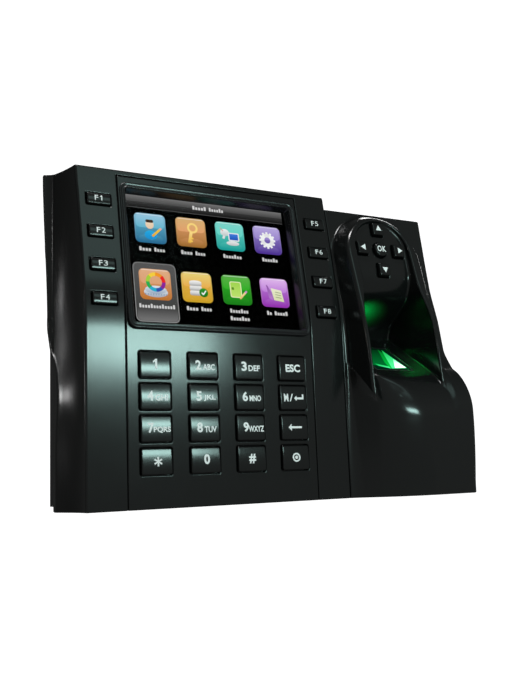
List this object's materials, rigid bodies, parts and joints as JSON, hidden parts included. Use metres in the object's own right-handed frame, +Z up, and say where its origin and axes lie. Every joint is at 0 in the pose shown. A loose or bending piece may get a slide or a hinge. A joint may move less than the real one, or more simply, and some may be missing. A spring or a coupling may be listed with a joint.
{
  "type": "fingerprint scanner terminal",
  "caption": "Wall-mounted fingerprint terminal: leaning display, number keypad, function keys, direction keys and an optical finger sensor in a raised channel.",
  "frame": {"origin": "middle of the four wall screw holes, on the wall plate's back face", "axes": "+X to the right as seen from the front, +Y into the wall, +Z up"},
  "size_m": [0.1768, 0.0556, 0.129],
  "materials": {
    "housing": "fine-textured satin black",
    "panel": "fine-textured satin black",
    "rear_housing": "textured black",
    "bezel": "gloss black",
    "window": "clear",
    "display": "backlit picture",
    "key": "satin gloss black with white printed legends",
    "silicone": "moulded grey",
    "board": "green solder mask",
    "prism": "polished",
    "seal": "black",
    "sensor_frame": "black",
    "sensor_light": "lit green",
    "plate": "zinc-plated sheet steel",
    "screw": "plated",
    "connector": "tinned shield",
    "terminal": "green",
    "speaker": "black paper cone",
    "battery": "shrink sleeve"
  },
  "bodies": {
    "base": {"wall_plate": "plate", "rear_cover": "rear_housing", "front_cover": "housing", "sensor_cover": "housing", "center_panel": "panel", "display_bezel": "bezel", "display_window": "window", "lcd_module": "display", "keypad_mat": "silicone", "keypad_board": "board", "function_mat_left": "silicone", "function_mat_right": "silicone", "function_board_left": "board", "function_board_right": "board", "nav_mat": "silicone", "nav_board": "board", "sensor_prism": "prism", "sensor_seal": "seal", "sensor_housing": "sensor_frame", "sensor_lights": "sensor_light", "sensor_camera": "sensor_frame", "main_board": "board", "speaker": "speaker", "backup_battery": "battery", "card_antenna": "board", "network_jack": "connector", "usb_port": "connector", "terminal_block": "terminal", "cover_screws": "screw", "board_screws": "screw", "lock_screw": "screw"},
    "key_1": {"key_1": "key"},
    "key_2": {"key_2": "key"},
    "key_3": {"key_3": "key"},
    "key_esc": {"key_esc": "key"},
    "key_4": {"key_4": "key"},
    "key_5": {"key_5": "key"},
    "key_6": {"key_6": "key"},
    "key_menu": {"key_menu": "key"},
    "key_7": {"key_7": "key"},
    "key_8": {"key_8": "key"},
    "key_9": {"key_9": "key"},
    "key_back": {"key_back": "key"},
    "key_star": {"key_star": "key"},
    "key_0": {"key_0": "key"},
    "key_hash": {"key_hash": "key"},
    "key_power": {"key_power": "key"},
    "key_f1": {"key_f1": "key"},
    "key_f2": {"key_f2": "key"},
    "key_f3": {"key_f3": "key"},
    "key_f4": {"key_f4": "key"},
    "key_f5": {"key_f5": "key"},
    "key_f6": {"key_f6": "key"},
    "key_f7": {"key_f7": "key"},
    "key_f8": {"key_f8": "key"},
    "key_up": {"key_up": "key"},
    "key_down": {"key_down": "key"},
    "key_left": {"key_left": "key"},
    "key_right": {"key_right": "key"},
    "key_ok": {"key_ok": "key"}
  },
  "joints": [
    {"name": "key_1_press", "type": "slide", "parent": "base", "child": "key_1", "axis": [0, 1, 0], "range_m": [0, 0.0009], "stiffness_N_per_m": 900},
    {"name": "key_2_press", "type": "slide", "parent": "base", "child": "key_2", "axis": [0, 1, 0], "range_m": [0, 0.0009], "stiffness_N_per_m": 900},
    {"name": "key_3_press", "type": "slide", "parent": "base", "child": "key_3", "axis": [0, 1, 0], "range_m": [0, 0.0009], "stiffness_N_per_m": 900},
    {"name": "key_esc_press", "type": "slide", "parent": "base", "child": "key_esc", "axis": [0, 1, 0], "range_m": [0, 0.0009], "stiffness_N_per_m": 900},
    {"name": "key_4_press", "type": "slide", "parent": "base", "child": "key_4", "axis": [0, 1, 0], "range_m": [0, 0.0009], "stiffness_N_per_m": 900},
    {"name": "key_5_press", "type": "slide", "parent": "base", "child": "key_5", "axis": [0, 1, 0], "range_m": [0, 0.0009], "stiffness_N_per_m": 900},
    {"name": "key_6_press", "type": "slide", "parent": "base", "child": "key_6", "axis": [0, 1, 0], "range_m": [0, 0.0009], "stiffness_N_per_m": 900},
    {"name": "key_menu_press", "type": "slide", "parent": "base", "child": "key_menu", "axis": [0, 1, 0], "range_m": [0, 0.0009], "stiffness_N_per_m": 900},
    {"name": "key_7_press", "type": "slide", "parent": "base", "child": "key_7", "axis": [0, 1, 0], "range_m": [0, 0.0009], "stiffness_N_per_m": 900},
    {"name": "key_8_press", "type": "slide", "parent": "base", "child": "key_8", "axis": [0, 1, 0], "range_m": [0, 0.0009], "stiffness_N_per_m": 900},
    {"name": "key_9_press", "type": "slide", "parent": "base", "child": "key_9", "axis": [0, 1, 0], "range_m": [0, 0.0009], "stiffness_N_per_m": 900},
    {"name": "key_back_press", "type": "slide", "parent": "base", "child": "key_back", "axis": [0, 1, 0], "range_m": [0, 0.0009], "stiffness_N_per_m": 900},
    {"name": "key_star_press", "type": "slide", "parent": "base", "child": "key_star", "axis": [0, 1, 0], "range_m": [0, 0.0009], "stiffness_N_per_m": 900},
    {"name": "key_0_press", "type": "slide", "parent": "base", "child": "key_0", "axis": [0, 1, 0], "range_m": [0, 0.0009], "stiffness_N_per_m": 900},
    {"name": "key_hash_press", "type": "slide", "parent": "base", "child": "key_hash", "axis": [0, 1, 0], "range_m": [0, 0.0009], "stiffness_N_per_m": 900},
    {"name": "key_power_press", "type": "slide", "parent": "base", "child": "key_power", "axis": [0, 1, 0], "range_m": [0, 0.0009], "stiffness_N_per_m": 900},
    {"name": "key_f1_press", "type": "slide", "parent": "base", "child": "key_f1", "axis": [0, 0.9858, -0.1678], "range_m": [0, 0.0009], "stiffness_N_per_m": 1100},
    {"name": "key_f2_press", "type": "slide", "parent": "base", "child": "key_f2", "axis": [0, 0.9858, -0.1678], "range_m": [0, 0.0009], "stiffness_N_per_m": 1100},
    {"name": "key_f3_press", "type": "slide", "parent": "base", "child": "key_f3", "axis": [0, 0.9858, -0.1678], "range_m": [0, 0.0009], "stiffness_N_per_m": 1100},
    {"name": "key_f4_press", "type": "slide", "parent": "base", "child": "key_f4", "axis": [0, 0.9858, -0.1678], "range_m": [0, 0.0009], "stiffness_N_per_m": 1100},
    {"name": "key_f5_press", "type": "slide", "parent": "base", "child": "key_f5", "axis": [0, 0.9858, -0.1678], "range_m": [0, 0.0009], "stiffness_N_per_m": 1100},
    {"name": "key_f6_press", "type": "slide", "parent": "base", "child": "key_f6", "axis": [0, 0.9858, -0.1678], "range_m": [0, 0.0009], "stiffness_N_per_m": 1100},
    {"name": "key_f7_press", "type": "slide", "parent": "base", "child": "key_f7", "axis": [0, 0.9858, -0.1678], "range_m": [0, 0.0009], "stiffness_N_per_m": 1100},
    {"name": "key_f8_press", "type": "slide", "parent": "base", "child": "key_f8", "axis": [0, 0.9858, -0.1678], "range_m": [0, 0.0009], "stiffness_N_per_m": 1100},
    {"name": "key_up_press", "type": "slide", "parent": "base", "child": "key_up", "axis": [0, 0.9858, -0.1678], "range_m": [0, 0.0009], "stiffness_N_per_m": 1100},
    {"name": "key_down_press", "type": "slide", "parent": "base", "child": "key_down", "axis": [0, 0.9858, -0.1678], "range_m": [0, 0.0009], "stiffness_N_per_m": 1100},
    {"name": "key_left_press", "type": "slide", "parent": "base", "child": "key_left", "axis": [0, 0.9858, -0.1678], "range_m": [0, 0.0009], "stiffness_N_per_m": 1100},
    {"name": "key_right_press", "type": "slide", "parent": "base", "child": "key_right", "axis": [0, 0.9858, -0.1678], "range_m": [0, 0.0009], "stiffness_N_per_m": 1100},
    {"name": "key_ok_press", "type": "slide", "parent": "base", "child": "key_ok", "axis": [0, 0.9858, -0.1678], "range_m": [0, 0.0009], "stiffness_N_per_m": 1100}
  ]
}
